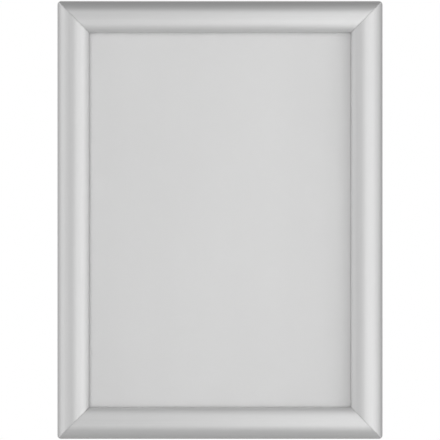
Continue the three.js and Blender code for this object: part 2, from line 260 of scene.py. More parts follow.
def cover_body():
    """The ring of the body. The claw's outer circle meets the shell's inner circle at a point that makes a
    triangle of known sides with the two centres, so the law of cosines gives its angle at the hinge."""
    inner = DOME_RADIUS - SHELL
    apart = np.linalg.norm(DOME_CENTRE - HINGE)
    cosine = (inner**2 - apart**2 - CLAW_OUTER**2) / (2 * apart * CLAW_OUTER)
    join = bearing(DOME_CENTRE, HINGE) - np.degrees(np.arccos(cosine))
    shell_start = bearing(DOME_CENTRE, polar(HINGE, CLAW_OUTER, join))
    lip_inside = COVER_WIDTH - SHELL
    shell_end = np.degrees(np.arccos((lip_inside - DOME_CENTRE[0]) / inner))
    ring = np.vstack([
        [[COVER_WIDTH, LIP_BACK]],
        arc(DOME_CENTRE, DOME_RADIUS, bearing(DOME_CENTRE, LIP_EDGE), bearing(DOME_CENTRE, COVER_EDGE)),
        [HOOK_FOOT, [HINGE[0], HOOK_FOOT[1]]],
        arc(HINGE, CLAW_INNER, 90, 0),
        [GROOVE_SIDE],
        arc(HINGE, BOSS_OUTER, BOSS_HIGH, BOSS_HIGH + BOSS_TOOTH),
        arc(HINGE, CLAW_OUTER, BOSS_HIGH + BOSS_TOOTH, join),
        arc(DOME_CENTRE, inner, shell_start, shell_end)[1:],
        [[lip_inside, LIP_BACK]],
    ])
    return soften(ring, EDGE_SOFTNESS)


print(len(cover_body()), "points round a cover's body")

# %% [markdown]
# ## Hook and boss
# The hook closes the claw on the outside, the boss on the inside. Both reach a hair's breadth up into the
# body, so that no light shows between them.

# %% Hook and boss
OVERLAP = 0.06  # how far hook and boss reach into the body
CLAW_START = -47.9  # degrees, as seen from the hinge line
CLAW_END = 177.9
BOSS_LOW = -30


def cover_hook():
    """The claw's outer end, with its top edge a little way up in the body."""
    ring = np.vstack([
        [HOOK_FOOT + [OVERLAP, OVERLAP]],
        arc(HINGE, HOOK_OUTER, EDGE_ANGLE, CLAW_END),
        arc(HINGE, CLAW_INNER, CLAW_END, 90),
        [[HINGE[0], HOOK_FOOT[1] + OVERLAP]],
    ])
    return soften(ring, EDGE_SOFTNESS)


def cover_boss():
    """The claw's inner end with the lower tooth of the groove, and its top edge up in the body."""
    tooth = BOSS_LOW - BOSS_TOOTH
    ring = np.vstack([
        arc(HINGE, CLAW_INNER, 0, CLAW_START),
        arc(HINGE, CLAW_OUTER, CLAW_START, tooth),
        arc(HINGE, BOSS_OUTER, tooth, BOSS_LOW),
        [GROOVE, GROOVE_SIDE],
        [GROOVE_SIDE + [0, OVERLAP], [HINGE[0] + CLAW_INNER, HINGE[1] + OVERLAP]],
    ])
    return soften(ring, EDGE_SOFTNESS)


print(len(cover_hook()), "points round a hook,", len(cover_boss()), "round a boss")

# %% [markdown]
# ## The section of a base rail
# The base stays on the wall, out of sight while the covers are shut. From the outside inwards it has the
# hinge bead on a leaning neck, a floor for the wall screws, a post whose notch takes the leaf springs, a
# lipped channel for the corner keys, the stop for the sheet and the ledge under the panel.
# First we fix where its walls stand.

# %% Walls of a base rail
BASE_FLOOR = 1.2  # thickness of the floor on the wall
WALL = 1.1
FOOT_INSET = 0.8  # from the cover's outer edge to the floor's
LEDGE = 6  # how far the panel rests on the floor
SHEET_PLAY = 0.5  # between the stop and the sheet
POST_REACH = 9.5  # from the hinge line to the bottom of the post's notch
POST_ANGLE = 20  # degrees, as seen from the hinge line

POST = polar(HINGE, POST_REACH, POST_ANGLE)
POST_INNER = POST[0] + WALL
STOP_INNER = SHEET_INSET - SHEET_PLAY
STOP_OUTER = STOP_INNER - WALL
LEDGE_END = SHEET_INSET + LEDGE
print(f"post at {POST[0]:.2f} mm, stop at {STOP_OUTER:.2f} mm, ledge to {LEDGE_END:.2f} mm")

# %% [markdown]
# The ring starts with the half towards the window: along the wall, round the ledge, up the stop and down
# into the channel. The back is hollowed between post and stop, so that the rail stands on two strips and
# doesn't rock on an uneven wall.

# %% Half towards the window
BACK_RELIEF = 0.3
KEY_LIP = 0.9  # how far the channel's lips reach over a corner key
KEY_LIP_BACK = 3.4
KEY_LIP_FRONT = 4.2


def base_tray():
    """The back, the ledge, the stop and the channel, as one open line of points."""
    back = [
        [FOOT_INSET, 0], [POST_INNER, 0], [POST_INNER + BACK_RELIEF, BACK_RELIEF],
        [STOP_OUTER - BACK_RELIEF, BACK_RELIEF], [STOP_OUTER, 0], [LEDGE_END, 0],
    ]
    ledge = [
        [LEDGE_END, BASE_FLOOR - BACK_RELIEF], [LEDGE_END - BACK_RELIEF, BASE_FLOOR],
        [STOP_INNER, BASE_FLOOR],
    ]
    stop = [
        [STOP_INNER, KEY_LIP_FRONT], [STOP_OUTER - KEY_LIP, KEY_LIP_FRONT],
        [STOP_OUTER - KEY_LIP, KEY_LIP_BACK], [STOP_OUTER, KEY_LIP_BACK], [STOP_OUTER, BASE_FLOOR],
    ]
    channel = [
        [POST_INNER, BASE_FLOOR], [POST_INNER, KEY_LIP_BACK], [POST_INNER + KEY_LIP, KEY_LIP_BACK],
        [POST_INNER + KEY_LIP, KEY_LIP_FRONT], [POST_INNER, KEY_LIP_FRONT],
    ]
    return np.vstack([back, ledge, stop, channel])


print(len(base_tray()), "points from the foot to the post")

# %% [markdown]
# The other half goes on over the post and its notch to the bead, and ends at the foot. The neck under the
# bead leans, its foot towards the window, and so the hook has room to turn in below the bead.

# %% Half towards the hinge
NOTCH_DEPTH = 0.6
NOTCH_HALF = 1.05  # half the notch's opening
NOTCH_TOOTH = 0.5
BEAD_RADIUS = 1.2
NECK_LEAN = 20  # degrees
NECK_WALL = 0.9
NECK_FOOT = HINGE[0] + (HINGE[1] - BASE_FLOOR) * np.tan(np.radians(NECK_LEAN))


def base_post():
    """The post from its top over the notch's two teeth down to the floor."""
    tooth = POST[0] - NOTCH_DEPTH
    low, high = POST[1] - NOTCH_HALF, POST[1] + NOTCH_HALF
    return [
        [POST_INNER, high + NOTCH_TOOTH], [tooth, high + NOTCH_TOOTH], [tooth, high], POST,
        [tooth, low], [tooth, low - NOTCH_TOOTH],
        [POST[0], low - NOTCH_TOOTH - NOTCH_DEPTH], [POST[0], BASE_FLOOR],
    ]


def base_bead():
    """Up one side of the neck, round the bead and down the other side to the foot."""
    neck_half = NECK_WALL / 2 / np.cos(np.radians(NECK_LEAN))
    bead_half = np.degrees(np.arcsin(NECK_WALL / 2 / BEAD_RADIUS))
    return np.vstack([
        [[NECK_FOOT + neck_half, BASE_FLOOR]],
        arc(HINGE, BEAD_RADIUS, NECK_LEAN - 90 + bead_half, NECK_LEAN + 270 - bead_half),
        [[NECK_FOOT - neck_half, BASE_FLOOR], [FOOT_INSET, BASE_FLOOR]],
    ])


def base_section():
    """The whole ring of a base rail."""
    return soften(np.vstack([base_tray(), base_post(), base_bead()]), EDGE_SOFTNESS)


print(len(base_section()), "points round a base")

# %% [markdown]
# ## Carrying a section along a rail
# Now a section becomes a surface: one parameter runs round the ring, the other along the rail, and a
# whole rail is one array of points. The columns of the grid stand close together near the ends, where the
# rail changes, and far apart between them.

# %% Columns of a rail
RIM = 0.05  # rounding of the saw's edge
MIDDLE_COLUMNS = 13
CORNER_COLUMNS = 10


def columns(corner_radius):
    """The columns from end to end, as three arrays. The share f runs from -1 to 1. The depth is the way in
    from the saw cut, and the shrink pulls the ring in over the rounded saw edge, a quarter circle:
    depth = rim (1 - sin a) and shrink = rim (1 - cos a)."""
    turn = np.radians([90, 45, 0])
    inmost = max(corner_radius, 2 * RIM)
    end_depth = np.concatenate([RIM * (1 - np.sin(turn)), np.linspace(RIM, inmost, CORNER_COLUMNS)[1:-1]])
    end_shrink = np.concatenate([RIM * (1 - np.cos(turn)), np.zeros(CORNER_COLUMNS - 2)])
    ends = np.ones(len(end_depth))
    share = np.concatenate([-ends, np.linspace(-1, 1, MIDDLE_COLUMNS), ends])
    depth = np.concatenate([end_depth, np.full(MIDDLE_COLUMNS, inmost), end_depth[::-1]])
    shrink = np.concatenate([end_shrink, np.zeros(MIDDLE_COLUMNS), end_shrink[::-1]])
    return share, depth, shrink


print(len(columns(0)[0]), "columns along a rail")

# %% [markdown]
# The ends are sawn at 45 degrees, so a point at `u` ends `u` sooner than one at the outer edge, and the
# columns lean with that mitre. The frame's outer corners are rounded. Instead of cutting them, the columns
# near an end push every point that lies outside the corner circle onto it.

# %% Rails from rings
CORNER_TRACE = 0.02  # share of its distance that a point keeps when it is pushed onto the circle
SHORTEST = 1e-9  # keeps the division sound where two points coincide


def unit(vectors):
    """The same directions with a length of 1."""
    return vectors / np.maximum(np.linalg.norm(vectors, axis=-1, keepdims=True), SHORTEST)


def inward(ring):
    """Unit normals that point into an anticlockwise ring: the mean direction of the two edges that meet at
    a point, turned left by a quarter."""
    edge = unit(np.roll(ring, -1, -2) - ring)
    along = unit(edge + np.roll(edge, 1, -2))
    return np.stack([-along[..., 1], along[..., 0]], -1)


def corner_reach(depth, radius):
    """How far inside the outer edge the corner circle lies, for a column this deep behind the corner along
    the rail. On the circle (R-u)^2 + (R-u-h)^2 = R^2, so u = R - (h + sqrt(2 R^2 - h^2)) / 2."""
    depth = np.minimum(depth, radius)
    return radius - (depth + np.sqrt(2 * radius**2 - depth**2)) / 2


def carry(ring, half_length, mitre=0, gap=0.0, corner_radius=0, inset=0):
    """A ring carried along a rail, as an array of columns x ring points x (u, v, s).
    A point lies at s = f (half_length - gap - depth - mitre u), with its column's share f and depth. Near a
    rounded corner u is at least the corner's reach, where a trace of the old u keeps the points apart."""
    share, depth, shrink = columns(corner_radius)
    rings = np.repeat(ring[None], len(depth), 0)
    if corner_radius:
        reach = (inset + corner_reach(gap + depth, corner_radius))[:, None]
        rings[..., 0] = np.maximum(rings[..., 0], reach - CORNER_TRACE * (reach - rings[..., 0]))
    rings = rings + shrink[:, None, None] * inward(rings)
    along = share[:, None] * (half_length - gap - depth[:, None] - mitre * rings[..., 0])
    return np.concatenate([rings, along[..., None]], -1)


print("grid of a cover's body:", carry(cover_body(), WIDTH / 2, mitre=1).shape)

# %% [markdown]
# ## Faces
# Neighbouring points of the grid make quads, and triangles close the two ends. An end is far from round,
# with hollows for the bead and the keys, so one big face could be filled wrongly. A triangulation that
# keeps the outline does it well, and it leaves holes open where a piece has any.

# %% Walls and ends
INSIDE_ONLY = 1  # the triangulation's code for triangles within the outline
SAME_POINT = 1e-6  # points closer than this count as one


def wall_faces(rows, count, first=0):
    """Quads between neighbouring rows of a closed loop, as point numbers."""
    row, point = np.meshgrid(np.arange(rows - 1), np.arange(count), indexing="ij")
    after = (point + 1) % count
    quads = np.stack([point, after, after + count, point + count], -1) + (row * count)[..., None]
    return first + quads.reshape(-1, 4)


def fill(loops):
    """Triangles that fill the first loop and leave the others open, as point numbers through all loops. A
    triangle with all its corners on one hole lies in that hole, because holes are round."""
    lengths = [len(loop) for loop in loops]
    starts = np.cumsum([0] + lengths)
    edges = [
        (start + step, start + (step + 1) % length)
        for start, length in zip(starts, lengths)
        for step in range(length)
    ]
    points = [Vector(point) for point in np.concatenate(loops)]
    triangles = np.array(delaunay_2d_cdt(points, edges, [], INSIDE_ONLY, SAME_POINT)[2])
    owner = np.repeat(np.arange(len(loops)), lengths)[triangles]
    in_hole = (owner > 0).all(1) & (owner == owner[:, :1]).all(1)
    return triangles[~in_hole]


print("a square tube has", len(wall_faces(5, 4)), "quads and at each end", len(fill([square])), "triangles")

# %% [markdown]
# Every face also gets a place on a UV map, in metres round the ring and along the rail. The lines in the
# metal will follow it later.

# %% A carried ring as a solid


def solid(grid):
    """Faces and UV of a carried ring. The UV of a wall is the way round the ring and the way along the
    rail, and on an end it is the drawing's own u and v."""
    rows, count = grid.shape[:2]
    triangles = fill([grid[rows // 2, :, :2]])
    ends = [triangles[:, ::-1], (rows - 1) * count + triangles]
    closed = np.concatenate([grid, grid[:, :1]], 1)
    steps = np.linalg.norm(np.diff(closed[rows // 2, :, :2], axis=0), axis=1)
    around = np.broadcast_to(np.concatenate([[0], np.cumsum(steps)]), (rows, count + 1))
    spot = np.stack([around, closed[..., 2]], -1)
    walls = np.stack([spot[:-1, :-1], spot[:-1, 1:], spot[1:, 1:], spot[1:, :-1]], 2)
    drawn = grid.reshape(-1, 3)[:, :2]
    layout = np.concatenate([walls.reshape(-1, 2), *(drawn[end].reshape(-1, 2) for end in ends)])
    return [wall_faces(rows, count), *ends], layout * MM


print("walls and ends of a hook:", [len(part) for part in solid(carry(cover_hook(), 100))[0]])

# %% [markdown]
# ## Four sides from one
# All four sides share the drawing, so a rail is drawn once for the bottom and turned by quarters for the
# others. The turning is done on the points, which leaves every finished object at the origin, unturned.

# %% Sides of the frame
QUARTERS = {"bottom": 0, "right": 1, "top": 2, "left": 3}
SPANS = {"bottom": WIDTH, "right": HEIGHT, "top": WIDTH, "left": HEIGHT}


def on_side(side, points):
    """Drawing coordinates (u, v, s) on one side of the frame to metres. On the bottom side x = s and
    z = u - height / 2, and each next side is a quarter turn on."""
    across = WIDTH + HEIGHT - SPANS[side]
    cosine = [1, 0, -1, 0][QUARTERS[side]]
    sine = [0, 1, 0, -1][QUARTERS[side]]
    x, z = points[..., 2], points[..., 0] - across / 2
    return np.stack([cosine * x - sine * z, -points[..., 1], sine * x + cosine * z], -1) * MM


print("hinge lines in m:", {side: on_side(side, np.array([*HINGE, 0])).tolist() for side in SPANS})

# %% [markdown]
# ## The four cover rails
# These are the silver rails that the picture shows. The body runs to the mitre and follows the rounded
# corner; hook and boss stop short of it. Sawn mitres meet with a joint as fine as a hair, so the covers
# come closer to each other here than the CAD model's solids.

# %% Cover rails
SHARP_EDGE = 40  # degrees; gentler edges are shaded smooth
CORNER_RADIUS = 3
MITRE_JOINT = 0.14  # the gap across the saw cuts
HOOK_SETBACK = 2.9  # from the rail's end
BOSS_SETBACK = 6.75


def make_piece(name, points, faces, layout=None):
    """A mesh object at the origin from points, faces and, if given, the UV of every face corner."""
    mesh = bpy.data.meshes.new(name)
    mesh.from_pydata(points.reshape(-1, 3).tolist(), [], faces)
    if layout is not None:
        mesh.uv_layers.new(name="run").data.foreach_set("uv", layout.astype(np.float32).ravel())
    mesh.shade_smooth()
    mesh.set_sharp_from_angle(angle=np.radians(SHARP_EDGE))
    piece = bpy.data.objects.new(name, mesh)
    bpy.context.scene.collection.objects.link(piece)
    return piece


def make_rail(name, side, grids):
    """One piece from several carried rings on the same side."""
    points, faces, layouts = [], [], []
    for grid in grids:
        first = sum(len(part) for part in points)
        parts, layout = solid(grid)
        points.append(on_side(side, grid).reshape(-1, 3))
        faces += [face for part in parts for face in (first + part).tolist()]
        layouts.append(layout)
    return make_piece(name, np.concatenate(points), faces, np.concatenate(layouts))


def count_faces(pieces):
    """The number of faces of each piece, by the piece's key."""
    return {key: len(piece.data.polygons) for key, piece in pieces.items()}


covers = {}
for side, span in SPANS.items():
    covers[side] = make_rail(f"cover_{side}", side, [
        carry(cover_body(), span / 2, 1, MITRE_JOINT / np.sqrt(2), CORNER_RADIUS),
        carry(cover_hook(), span / 2 - HOOK_SETBACK),
        carry(cover_boss(), span / 2 - BOSS_SETBACK),
    ])
print("faces of the cover rails:", count_faces(covers))

# %% [markdown]
# ## The four base rails
# They run along the frame in the same way, a little inside the covers. Out of sight, their mitres needn't
# close so finely.

# %% Base rails
BASE_JOINT = 0.3

bases = {}
for side, span in SPANS.items():
    grid = carry(base_section(), span / 2, 1, BASE_JOINT / np.sqrt(2), CORNER_RADIUS, FOOT_INSET)
    bases[side] = make_rail(f"base_{side}", side, [grid])
print("faces of the base rails:", count_faces(bases))

# %% [markdown]
# ## Holes for the wall screws
# Top and bottom base have two round holes each. A hole doesn't follow the section, so here a Boolean is the
# right tool: the drill is a ring carried through the floor, wider at both ends so that it breaks the hole's
# edge.

# %% Screw holes
HOLE_RADIUS = 2.1
HOLE_FLARE = 0.15
HOLE_FROM_CORNER = 32
HOLE_POINTS = 48
OVERRUN = 1  # how far the drill goes past the floor's faces
DRILLED = ("top", "bottom")
HOLE_PLACE = (NECK_FOOT + NECK_WALL / 2 + POST[0]) / 2  # midway between the neck and the post


def drill(side, along):
    """A turned cutter: circles round the hole's axis whose radius grows by the flare at both faces of the
    floor."""
    angle = np.linspace(0, 2 * np.pi, HOLE_POINTS, endpoint=False)
    levels = [-OVERRUN, 0, HOLE_FLARE, BASE_FLOOR - HOLE_FLARE, BASE_FLOOR, BASE_FLOOR + OVERRUN]
    level = np.array(levels)[:, None]
    radius = HOLE_RADIUS + HOLE_FLARE * np.array([1, 1, 0, 0, 1, 1])[:, None]
    u = HOLE_PLACE + radius * np.sin(angle)
    s = along + radius * np.cos(angle)
    circles = np.stack([u, np.broadcast_to(level, u.shape), s], -1)
    last = np.arange(HOLE_POINTS) + (len(level) - 1) * HOLE_POINTS
    ends = [list(range(HOLE_POINTS))[::-1], last.tolist()]
    return make_piece("drill", on_side(side, circles), wall_faces(len(level), HOLE_POINTS).tolist() + ends)


def cut(piece, cutter):
    """Takes the cutter's shape out of the piece for good, and removes the cutter."""
    boolean = piece.modifiers.new("cut", "BOOLEAN")
    boolean.object = cutter
    boolean.solver = "EXACT"
    depsgraph = bpy.context.evaluated_depsgraph_get()
    drilled = bpy.data.meshes.new_from_object(piece.evaluated_get(depsgraph))
    piece.modifiers.clear()
    piece.data = drilled
    bpy.data.objects.remove(cutter)


for side in DRILLED:
    for along in (-1, 1):
        cut(bases[side], drill(side, along * (WIDTH / 2 - HOLE_FROM_CORNER)))
print("faces of the drilled rails:", count_faces({side: bases[side] for side in DRILLED}))

# %% [markdown]
# ## Flat pieces
# The keys are stamped from steel sheet, the panel and the film are cut from plastic sheet. All are an
# outline with a thickness. The walls are the outline carried through the thickness, with the rim rounded
# at both faces, and the same triangulation as before fills the faces.

# %% Plates
PLATE_RIM_STEPS = 4


def plate(loops, back, thickness, rim):
    """Points (across, along, v) and faces of a plate. The first loop is its outline, the others are holes.
    A loop's rows follow a quarter circle at each face: inset rim (1 - sin a), height rim (1 - cos a)."""
    turn = np.radians(np.linspace(0, 90, PLATE_RIM_STEPS))
    inset = np.concatenate([rim * (1 - np.sin(turn)), rim * (1 - np.sin(turn[::-1]))])
    height = np.concatenate([rim * (1 - np.cos(turn)), thickness - rim * (1 - np.cos(turn[::-1]))])
    loops = [loops[0], *(hole[::-1] for hole in loops[1:])]
    points, faces, lower, upper = [], [], [], []
    for loop in loops:
        first = sum(len(part) for part in points)
        rows = loop[None] + inset[:, None, None] * inward(loop)
        level = np.broadcast_to((back + height)[:, None, None], rows.shape[:2] + (1,))
        points.append(np.concatenate([rows, level], -1).reshape(-1, 3))
        faces += wall_faces(len(inset), len(loop), first).tolist()
        lower.append(first + np.arange(len(loop)))
        upper.append(lower[-1] + (len(inset) - 1) * len(loop))
    triangles = fill(loops)
    faces += np.concatenate(lower)[triangles[:, ::-1]].tolist()
    faces += np.concatenate(upper)[triangles].tolist()
    return np.concatenate(points), faces


print(len(plate([square], 0, 1, 0.1)[1]), "faces on a small square plate")

# %% [markdown]
# ## The corner keys
# A flat steel angle sits in the channels of two neighbouring bases and holds them together. The rails are
# staked into the hole of each leg.

# %% Corner keys
KEY_BACK = 1.4
KEY_THICKNESS = 1.8
KEY_LEG = 34
KEY_CHAMFER = 1.2
KEY_CLEARANCE = 0.25  # to the channel's walls
KEY_SOFTNESS = 0.4
KEY_RIM = 0.2
STAKE_RADIUS = 1.2
STAKE_FROM_TIP = 9
STAKE_POINTS = 36
# The corner at the start of each side
KEY_CORNERS = {"bottom": "bottom_left", "right": "bottom_right", "top": "top_right", "left": "top_left"}


def key_loops():
    """The angle from the frame's outer corner, with its chamfered tips, and the two stake holes."""
    near, far = POST_INNER + KEY_CLEARANCE, STOP_OUTER - KEY_CLEARANCE
    tip, cut_off = near + KEY_LEG, KEY_CHAMFER
    angle = np.array([
        [near + cut_off, near], [tip - cut_off, near], [tip, near + cut_off], [tip, far - cut_off],
        [tip - cut_off, far], [far, far], [far, tip - cut_off], [far - cut_off, tip], [near + cut_off, tip],
        [near, tip - cut_off], [near, near + cut_off],
    ])
    middle, stake = (near + far) / 2, tip - STAKE_FROM_TIP
    around = np.linspace(0, 360, STAKE_POINTS, endpoint=False)
    holes = [polar(np.array(place), STAKE_RADIUS, around) for place in ((stake, middle), (middle, stake))]
    return [soften(angle, KEY_SOFTNESS), *holes]


keys = {}
for side, corner in KEY_CORNERS.items():
    points, faces = plate(key_loops(), KEY_BACK, KEY_THICKNESS, KEY_RIM)
    drawn = np.stack([points[:, 1], points[:, 2], points[:, 0] - SPANS[side] / 2], -1)
    keys[corner] = make_piece(f"key_{corner}", on_side(side, drawn), faces)
print("faces of the corner keys:", count_faces(keys))

# %% [markdown]
# ## Panel and film
# The light grey sheet that the window shows is the panel on which a print would lie. The clear film lies
# over it. Both are the size of the sheet, with corners just rounded enough to slip into the tray.

# %% Panel and film
SHEET_CORNER = 2
PANEL_BACK = 1.4
PANEL_THICKNESS = 1.5
PANEL_RIM = 0.25
FILM_BACK = 3.2
FILM_THICKNESS = 0.5
FILM_RIM = 0.12


def rounded_rectangle(width, height, radius):
    """A rectangle about the origin whose corners are quarter circles."""
    centres = np.array([[1, 1], [-1, 1], [-1, -1], [1, -1]]) * [width / 2 - radius, height / 2 - radius]
    return np.vstack([
        arc(centre, radius, 90 * quarter, 90 * quarter + 90) for quarter, centre in enumerate(centres)
    ])


def tray_sheet(name, back, thickness, rim):
    """A sheet of the tray about the frame's centre, its front towards the viewer."""
    outline = rounded_rectangle(SHEET_WIDTH, SHEET_HEIGHT, SHEET_CORNER)
    points, faces = plate([outline], back, thickness, rim)
    placed = np.stack([points[:, 0], -points[:, 2], points[:, 1]], -1) * MM
    return make_piece(name, placed, faces)


panel = tray_sheet("panel", PANEL_BACK, PANEL_THICKNESS, PANEL_RIM)
film = tray_sheet("film", FILM_BACK, FILM_THICKNESS, FILM_RIM)
print("faces of the sheets:", count_faces({"panel": panel, "film": film}))

# %% [markdown]
# ## The leaf springs
# Two bowed strips of spring steel per rail stand between the groove on the claw and the notch on the post.
# They push a cover over dead centre, so that it snaps shut and also stays open. The drawing is a bowed
# strip, carried along for 50 mm.

# %% Leaf springs
SPRING_THICKNESS = 0.3
SPRING_LENGTH = 50
SPRING_FROM_CORNER = 75  # to the spring's middle
SPRING_BOW = 0.35  # how far the middle stands off the straight line
SPRING_END_GAP = 0.6  # from each seat to the strip's edge
SPRING_SOFTNESS = 0.12
# The two springs along each side, from its start to its end
SPRING_ENDS = {
    "bottom": ("left", "right"),
    "right": ("lower", "upper"),
    "top": ("right", "left"),
    "left": ("upper", "lower"),
}


def spring_section():
    """A strip along a circle through both seats, less the end gaps, whose middle stands the bow's height
    off the straight line: R = (half^2 + bow^2) / (2 bow)."""
    chord = POST - GROOVE
    length = np.linalg.norm(chord)
    along = chord / length
    half = length / 2 - SPRING_END_GAP
    radius = (half**2 + SPRING_BOW**2) / (2 * SPRING_BOW)
    behind = np.array([along[1], -along[0]])
    centre = (GROOVE + POST) / 2 + behind * (radius - SPRING_BOW)
    middle = bearing(behind, [0, 0])
    sweep = np.degrees(np.arcsin(half / radius))
    outside = arc(centre, radius + SPRING_THICKNESS / 2, middle - sweep, middle + sweep)
    inside = arc(centre, radius - SPRING_THICKNESS / 2, middle + sweep, middle - sweep)
    return soften(np.vstack([outside, inside]), SPRING_SOFTNESS)


springs, spring_places = {}, {}
for side, ends in SPRING_ENDS.items():
    reach = SPANS[side] / 2 - SPRING_FROM_CORNER
    for end, along in zip(ends, (-reach, reach)):
        grid = carry(spring_section(), SPRING_LENGTH / 2) + [0, 0, along]
        springs[side, end] = make_rail(f"spring_{side}_{end}", side, [grid])
        spring_places[side, end] = along
print(len(springs), "leaf springs at", sorted(set(spring_places.values())), "mm from a rail's middle")

# %% [markdown]
# ## Building finishes from nodes
# Every finish is a small node tree round one Principled shader. A helper makes a node, sets its properties
# and fills its inputs with either a value or another node's output, so that each finish below reads from
# top to bottom like a recipe.

# %% Nodes of a finish
SHADER = "Principled BSDF"


def add_node(tree, kind, inputs=None, **properties):
    """Makes a node. Inputs that are sockets get linked, all others are plain values."""
    made = tree.nodes.new(kind)
    for name, value in properties.items():
        setattr(made, name, value)
    for name, value in (inputs or {}).items():
        if isinstance(value, bpy.types.NodeSocket):
            tree.links.new(value, made.inputs[name])
        else:
            made.inputs[name].default_value = value
    return made


def new_finish(name, **settings):
    """A material with one Principled shader, and settings for the shader's own sockets."""
    finish = bpy.data.materials.new(name)
    finish.use_nodes = True
    shader = finish.node_tree.nodes[SHADER]
    for socket, value in settings.items():
        shader.inputs[socket.replace("_", " ")].default_value = value
    return finish, finish.node_tree, shader


print("every finish is built round a", SHADER)

# %% [markdown]
# No real surface is quite even. So each finish is stirred by noise, which lies either on the piece as a
# whole or on the UV map along the rail. More helpers make the noise, spread it over a range, mix two
# values, turn one into a colour, and give the shader its coat.

# %% Noise and colour
NOISE_LOW = 0.3  # most of the noise lies between these two
NOISE_HIGH = 0.7
NOISE_ROUGHNESS = 0.55


def place_on(tree):
    """Where a point lies on the piece, in metres."""
    return add_node(tree, "ShaderNodeTexCoord").outputs["Object"]


def run_along(tree):
    """Where a point lies on the UV map: round the ring and along the rail, in metres."""
    return add_node(tree, "ShaderNodeUVMap", uv_map="run").outputs["UV"]


def stretched_noise(tree, vector, scale, detail=3):
    """Noise on a vector that is scaled differently along each axis, as a value about 0.5."""
    mapped = add_node(tree, "ShaderNodeMapping", {"Vector": vector, "Scale": scale}).outputs["Vector"]
    inputs = {"Vector": mapped, "Scale": 1.0, "Detail": detail, "Roughness": NOISE_ROUGHNESS}
    return add_node(tree, "ShaderNodeTexNoise", inputs).outputs["Fac"]


def spread(tree, value, low, high, start=NOISE_LOW, end=NOISE_HIGH):
    """Maps a value from start..end to low..high."""
    inputs = {"Value": value, "From Min": start, "From Max": end, "To Min": low, "To Max": high}
    return add_node(tree, "ShaderNodeMapRange", inputs).outputs["Result"]


def mix(tree, share, first, second):
    """A value between two others."""
    return add_node(tree, "ShaderNodeMix", {"Factor": share, "A": first, "B": second}).outputs["Result"]


def tint(tree, value, dark, light):
    """A colour between dark and light, picked by a noise value."""
    inputs = {"Factor": spread(tree, value, 0, 1), "A": (*dark, 1), "B": (*light, 1)}
    return add_node(tree, "ShaderNodeMix", inputs, data_type="RGBA").outputs["Result"]


def coat(tree, shader, colour, roughness, relief, strength, depth):
    """Gives the shader its colour, its roughness and a relief of this depth in metres."""
    bump = add_node(tree, "ShaderNodeBump", {"Height": relief, "Strength": strength, "Distance": depth})
    tree.links.new(colour, shader.inputs["Base Color"])
    tree.links.new(roughness, shader.inputs["Roughness"])
    tree.links.new(bump.outputs["Normal"], shader.inputs["Normal"])


print("noise is spread from", NOISE_LOW, "to", NOISE_HIGH)

# %% [markdown]
# ## Satin anodised aluminium
# The covers are etched matt before they are anodised, so the metal has no mirror image, only a broad soft
# shine. The press leaves hair-fine lines along the rail that the etching doesn't quite remove. They follow
# the extrusion, so we draw them on the UV map: quick changes round the ring, slow ones along the rail.

# %% Satin aluminium


def satin_aluminium():
    """Fine lines along the rail, in the colour, the roughness and, with some grain, in the relief."""
    finish, tree, shader = new_finish("satin_aluminium", Metallic=1.0)
    run = run_along(tree)
    place = place_on(tree)
    hairlines = stretched_noise(tree, run, (5200, 9, 1))
    bands = stretched_noise(tree, run, (900, 2.5, 1), detail=2)
    grain = stretched_noise(tree, place, (2600, 2600, 2600), detail=2)
    lines = mix(tree, 0.45, hairlines, bands)
    colour = tint(tree, lines, (0.66, 0.66, 0.66), (0.71, 0.71, 0.71))
    relief = mix(tree, 0.4, lines, grain)
    roughness = spread(tree, lines, 0.42, 0.5)
    coat(tree, shader, colour, roughness, relief, strength=0.35, depth=4e-6)
    return finish


satin = satin_aluminium()
print(satin.name, "has", len(satin.node_tree.nodes), "nodes")

# %% [markdown]
# ## Plain aluminium of the bases
# The bases come from the same press but are never on show. Their die lines are stronger, and the metal is
# duller and a little greyer. The recipe is lines over soft clouds, and it will serve for the springs too.

# %% Base aluminium


def lined_metal(name, lines, clouds, detail, share, dark, light, smooth, rough, strength, depth):
    """Lines along the rail over clouds of the given scales. Mixed, they make the colour and the roughness,
    and the lines alone make the relief."""
    finish, tree, shader = new_finish(name, Metallic=1.0)
    run = run_along(tree)
    place = place_on(tree)
    drawn = stretched_noise(tree, run, lines, detail=4)
    cloudy = stretched_noise(tree, place, (clouds, clouds, clouds), detail)
    mixed = mix(tree, share, drawn, cloudy)
    colour = tint(tree, mixed, dark, light)
    roughness = spread(tree, mixed, smooth, rough)
    coat(tree, shader, colour, roughness, drawn, strength, depth)
    return finish


plain = lined_metal(
    "base_aluminium", lines=(2400, 5, 1), clouds=60, detail=3, share=0.35,
    dark=(0.62, 0.625, 0.635), light=(0.74, 0.743, 0.75), smooth=0.38, rough=0.56,
    strength=0.5, depth=8e-6,
)
print(plain.name, "has", len(plain.node_tree.nodes), "nodes")

# %% [markdown]
# ## Zinc on the corner keys
# Electroplated zinc is a bluish grey with soft cloudy patches of tiny crystals, some brighter and smoother
# than their neighbours.

# %% Zinc-plated steel


def zinc_steel():
    """Clouds with a quarter of small crystal cells, in colour, roughness and relief."""
    finish, tree, shader = new_finish("zinc_steel", Metallic=1.0)
    place = place_on(tree)
    clouds = stretched_noise(tree, place, (180, 180, 180), detail=4)
    crystals = add_node(tree, "ShaderNodeTexVoronoi", {"Vector": place, "Scale": 1400.0}).outputs["Color"]
    patches = mix(tree, 0.25, clouds, crystals)
    colour = tint(tree, patches, (0.5, 0.53, 0.57), (0.7, 0.71, 0.71))
    roughness = spread(tree, patches, 0.3, 0.5)
    coat(tree, shader, colour, roughness, patches, strength=0.3, depth=1e-5)
    return finish


zinc = zinc_steel()
print(zinc.name, "has", len(zinc.node_tree.nodes), "nodes")

